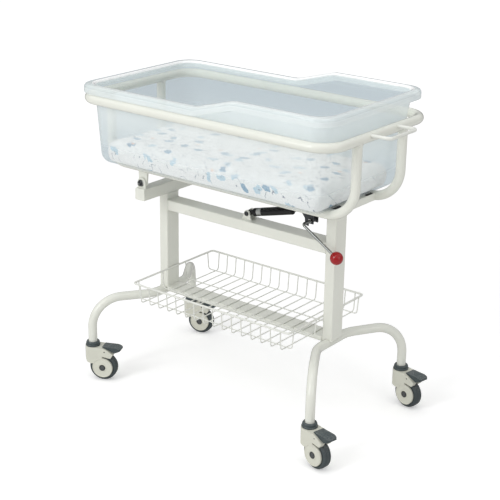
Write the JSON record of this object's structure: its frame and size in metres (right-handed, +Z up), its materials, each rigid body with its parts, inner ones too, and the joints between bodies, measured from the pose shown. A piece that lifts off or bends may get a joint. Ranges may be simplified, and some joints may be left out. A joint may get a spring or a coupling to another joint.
{
  "type": "hospital bassinet",
  "caption": "Wheeled hospital bassinet: clear lift-out tub with mattress on a tilting tubular cradle, gas spring and lever, wire basket below, swivel casters with brakes.",
  "frame": {"origin": "on the floor, under the middle of the whole outline in plan, push handle included", "axes": "+X towards the head end with the push handle, +Y towards the back, -Y towards the front with the release knob, +Z up"},
  "size_m": [0.889, 0.5077, 0.8955],
  "materials": {
    "powder_coat": "semi-gloss cream-white powder coat",
    "wire_coat": "cream-white plastic-coated rod and wire",
    "dark_steel": "blackened steel, satin",
    "bright_steel": "bright plated steel",
    "red_knob": "gloss red phenolic",
    "black_rubber": "matt black rubber",
    "black_enamel": "gloss black enamel",
    "clear_tub": "clear moulded plastic, faint blue, glossy",
    "mattress_cloth": "woven cotton with a scattered blue and grey print",
    "collar_grey": "satin blue-grey plastic",
    "caster_cream": "satin cream moulded plastic",
    "hub_cap": "dark grey plastic caps on a steel axle",
    "grey_tyre": "blue-grey thermoplastic rubber",
    "pedal_grey": "satin blue-grey plastic"
  },
  "bodies": {
    "base": {"head_leg": "powder_coat", "foot_leg": "powder_coat", "foot_post": "powder_coat", "head_post": "powder_coat", "upper_rail": "powder_coat", "lower_stretcher": "powder_coat", "foot_crossbeam": "powder_coat", "crossbeam_end_plates": "powder_coat", "base_hinge_lugs": "powder_coat", "hinge_bolts": "dark_steel", "head_rest_pad": "black_rubber", "basket_rim": "wire_coat", "basket_cross_wires": "wire_coat", "basket_long_wires": "wire_coat", "spring_base_lugs": "powder_coat", "spring_pivot_pin": "bright_steel", "front_foot_caster_stem": "collar_grey", "front_head_caster_stem": "collar_grey", "back_head_caster_stem": "collar_grey", "back_foot_caster_stem": "collar_grey"},
    "cradle": {"cradle_ring": "powder_coat", "front_u_tube": "powder_coat", "back_u_tube": "powder_coat", "head_cross_member": "powder_coat", "tub_rest_pads": "black_rubber", "spring_cross_bar": "powder_coat", "cradle_hinge_lugs": "powder_coat", "handle_rod": "wire_coat", "release_bracket": "dark_steel", "spring_upper_pin": "bright_steel"},
    "spring_cylinder": {"gas_cylinder": "black_enamel"},
    "spring_rod": {"gas_rod": "bright_steel"},
    "release_lever": {"lever_rod": "bright_steel", "lever_knob": "red_knob", "release_cam": "dark_steel"},
    "tub_body": {"tub": "clear_tub", "tub_flange": "clear_tub"},
    "mattress_body": {"mattress": "mattress_cloth"},
    "front_foot_swivel": {"front_foot_caster_housing": "caster_cream", "front_foot_caster_axle": "hub_cap"},
    "front_foot_wheel": {"front_foot_wheel_core": "caster_cream", "front_foot_tyre": "grey_tyre"},
    "front_foot_pedal": {"front_foot_brake_pedal": "pedal_grey"},
    "front_head_swivel": {"front_head_caster_housing": "caster_cream", "front_head_caster_axle": "hub_cap"},
    "front_head_wheel": {"front_head_wheel_core": "caster_cream", "front_head_tyre": "grey_tyre"},
    "front_head_pedal": {"front_head_brake_pedal": "pedal_grey"},
    "back_head_swivel": {"back_head_caster_housing": "caster_cream", "back_head_caster_axle": "hub_cap"},
    "back_head_wheel": {"back_head_wheel_core": "caster_cream", "back_head_tyre": "grey_tyre"},
    "back_head_pedal": {"back_head_brake_pedal": "pedal_grey"},
    "back_foot_swivel": {"back_foot_caster_housing": "caster_cream", "back_foot_caster_axle": "hub_cap"},
    "back_foot_wheel": {"back_foot_wheel_core": "caster_cream", "back_foot_tyre": "grey_tyre"},
    "back_foot_pedal": {"back_foot_brake_pedal": "pedal_grey"}
  },
  "joints": [
    {"name": "cradle_tilt", "type": "hinge", "parent": "base", "child": "cradle", "pos_m": [-0.316, 0, 0.5815], "axis": [0, -1, 0], "range_deg": [0, 12]},
    {"name": "spring_swing", "type": "hinge", "parent": "base", "child": "spring_cylinder", "pos_m": [-0.0244, 0, 0.5315], "axis": [0, -1, 0], "range_deg": [0, 24.95]},
    {"name": "spring_extend", "type": "slide", "parent": "spring_cylinder", "child": "spring_rod", "axis": [0.9679, 0, 0.2513], "range_m": [0, 0.0377]},
    {"name": "lever_swing", "type": "hinge", "parent": "cradle", "child": "release_lever", "pos_m": [0.1845, 0, 0.5575], "axis": [0, -1, 0], "range_deg": [0, 15]},
    {"name": "tub_lift", "type": "slide", "parent": "cradle", "child": "tub_body", "axis": [0, 0, 1], "range_m": [0, 0.3]},
    {"name": "mattress_lift", "type": "slide", "parent": "tub_body", "child": "mattress_body", "axis": [0, 0, 1], "range_m": [0, 0.3]},
    {"name": "front_foot_swivel_turn", "type": "hinge", "parent": "base", "child": "front_foot_swivel", "pos_m": [-0.416, -0.217, 0.09], "axis": [0, 0, 1], "continuous": true},
    {"name": "front_foot_wheel_spin", "type": "hinge", "parent": "front_foot_swivel", "child": "front_foot_wheel", "pos_m": [-0.387, -0.20348, 0.04], "axis": [-0.4226, 0.9063, 0], "continuous": true},
    {"name": "front_foot_brake_press", "type": "hinge", "parent": "front_foot_swivel", "child": "front_foot_pedal", "pos_m": [-0.37975, -0.20009, 0.091], "axis": [-0.4226, 0.9063, 0], "range_deg": [0, 6]},
    {"name": "front_head_swivel_turn", "type": "hinge", "parent": "base", "child": "front_head_swivel", "pos_m": [0.346, -0.217, 0.09], "axis": [0, 0, 1], "continuous": true},
    {"name": "front_head_wheel_spin", "type": "hinge", "parent": "front_head_swivel", "child": "front_head_wheel", "pos_m": [0.3773, -0.22365, 0.04], "axis": [0.2079, 0.9781, 0], "continuous": true},
    {"name": "front_head_brake_press", "type": "hinge", "parent": "front_head_swivel", "child": "front_head_pedal", "pos_m": [0.38513, -0.22532, 0.091], "axis": [0.2079, 0.9781, 0], "range_deg": [0, 6]},
    {"name": "back_head_swivel_turn", "type": "hinge", "parent": "base", "child": "back_head_swivel", "pos_m": [0.346, 0.217, 0.09], "axis": [0, 0, 1], "continuous": true},
    {"name": "back_head_wheel_spin", "type": "hinge", "parent": "back_head_swivel", "child": "back_head_wheel", "pos_m": [0.37751, 0.21144, 0.04], "axis": [0.1736, 0.9848, 0], "continuous": true},
    {"name": "back_head_brake_press", "type": "hinge", "parent": "back_head_swivel", "child": "back_head_pedal", "pos_m": [0.38539, 0.21005, 0.091], "axis": [0.1736, 0.9848, 0], "range_deg": [0, 6]},
    {"name": "back_foot_swivel_turn", "type": "hinge", "parent": "base", "child": "back_foot_swivel", "pos_m": [-0.416, 0.217, 0.09], "axis": [0, 0, 1], "continuous": true},
    {"name": "back_foot_wheel_spin", "type": "hinge", "parent": "back_foot_swivel", "child": "back_foot_wheel", "pos_m": [-0.38557, 0.22689, 0.04], "axis": [-0.309, 0.9511, 0], "continuous": true},
    {"name": "back_foot_brake_press", "type": "hinge", "parent": "back_foot_swivel", "child": "back_foot_pedal", "pos_m": [-0.37796, 0.22936, 0.091], "axis": [-0.309, 0.9511, 0], "range_deg": [0, 6]}
  ],
  "couplings": [
    {"joint": "spring_swing", "follows": "cradle_tilt", "ratio": 2.071},
    {"joint": "spring_extend", "follows": "cradle_tilt", "m_per_rad": 0.17765}
  ]
}
